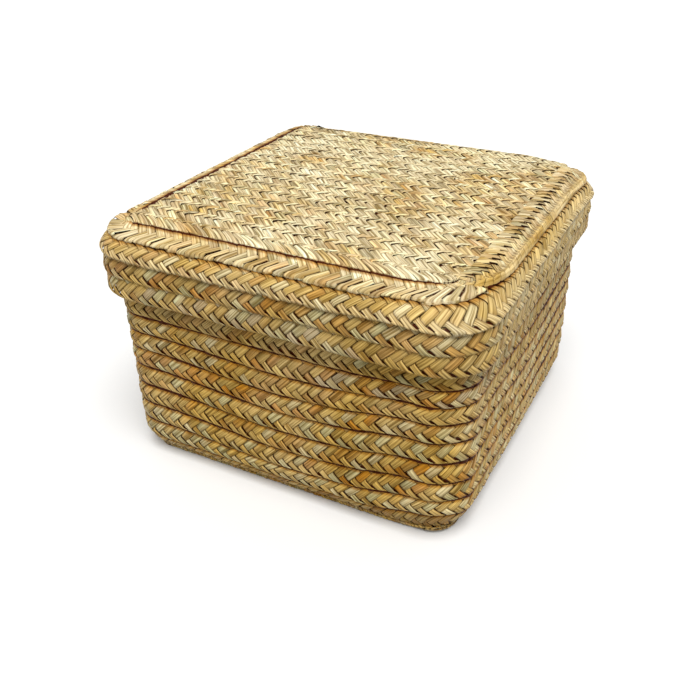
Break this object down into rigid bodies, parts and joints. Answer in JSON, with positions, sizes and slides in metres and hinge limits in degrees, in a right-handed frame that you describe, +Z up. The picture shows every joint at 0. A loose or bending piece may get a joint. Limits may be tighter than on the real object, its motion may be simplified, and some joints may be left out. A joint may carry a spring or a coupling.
{
  "type": "woven lidded box",
  "caption": "Square straw box of lapped plaited rounds with rounded corners and a loose lift-off lid with a deep skirt, for keeping small things in.",
  "frame": {"origin": "centre of the base's underside, on the surface the box stands on", "axes": "+Z up out of the box's mouth, -Y out of the front wall, +X out of the right wall"},
  "size_m": [0.2368, 0.2368, 0.1532],
  "materials": {
    "box_straw": "plaited straw, satin",
    "lid_straw": "plaited straw, satin"
  },
  "bodies": {
    "box": {"base_row_01": "box_straw", "base_row_02": "box_straw", "base_row_03": "box_straw", "base_row_04": "box_straw", "base_row_05": "box_straw", "base_row_06": "box_straw", "base_row_07": "box_straw", "base_row_08": "box_straw", "base_row_09": "box_straw", "base_row_10": "box_straw", "base_row_11": "box_straw", "base_row_12": "box_straw", "base_row_13": "box_straw", "base_row_14": "box_straw", "base_row_15": "box_straw", "base_row_16": "box_straw", "base_row_17": "box_straw", "wall_round_01": "box_straw", "wall_round_02": "box_straw", "wall_round_03": "box_straw", "wall_round_04": "box_straw", "wall_round_05": "box_straw", "wall_round_06": "box_straw", "wall_round_07": "box_straw", "wall_round_08": "box_straw", "wall_round_09": "box_straw", "wall_round_10": "box_straw", "wall_round_11": "box_straw"},
    "lid": {"lid_row_01": "lid_straw", "lid_row_02": "lid_straw", "lid_row_03": "lid_straw", "lid_row_04": "lid_straw", "lid_row_05": "lid_straw", "lid_row_06": "lid_straw", "lid_row_07": "lid_straw", "lid_row_08": "lid_straw", "lid_row_09": "lid_straw", "lid_row_10": "lid_straw", "lid_row_11": "lid_straw", "lid_row_12": "lid_straw", "lid_row_13": "lid_straw", "lid_row_14": "lid_straw", "lid_row_15": "lid_straw", "lid_row_16": "lid_straw", "lid_row_17": "lid_straw", "lid_border_front": "lid_straw", "lid_border_right": "lid_straw", "lid_border_back": "lid_straw", "lid_border_left": "lid_straw", "lid_skirt_01": "lid_straw", "lid_skirt_02": "lid_straw", "lid_skirt_03": "lid_straw"}
  },
  "joints": [
    {"name": "lid_lift", "type": "slide", "parent": "box", "child": "lid", "axis": [0, 0, 1], "range_m": [0, 0.09]}
  ]
}
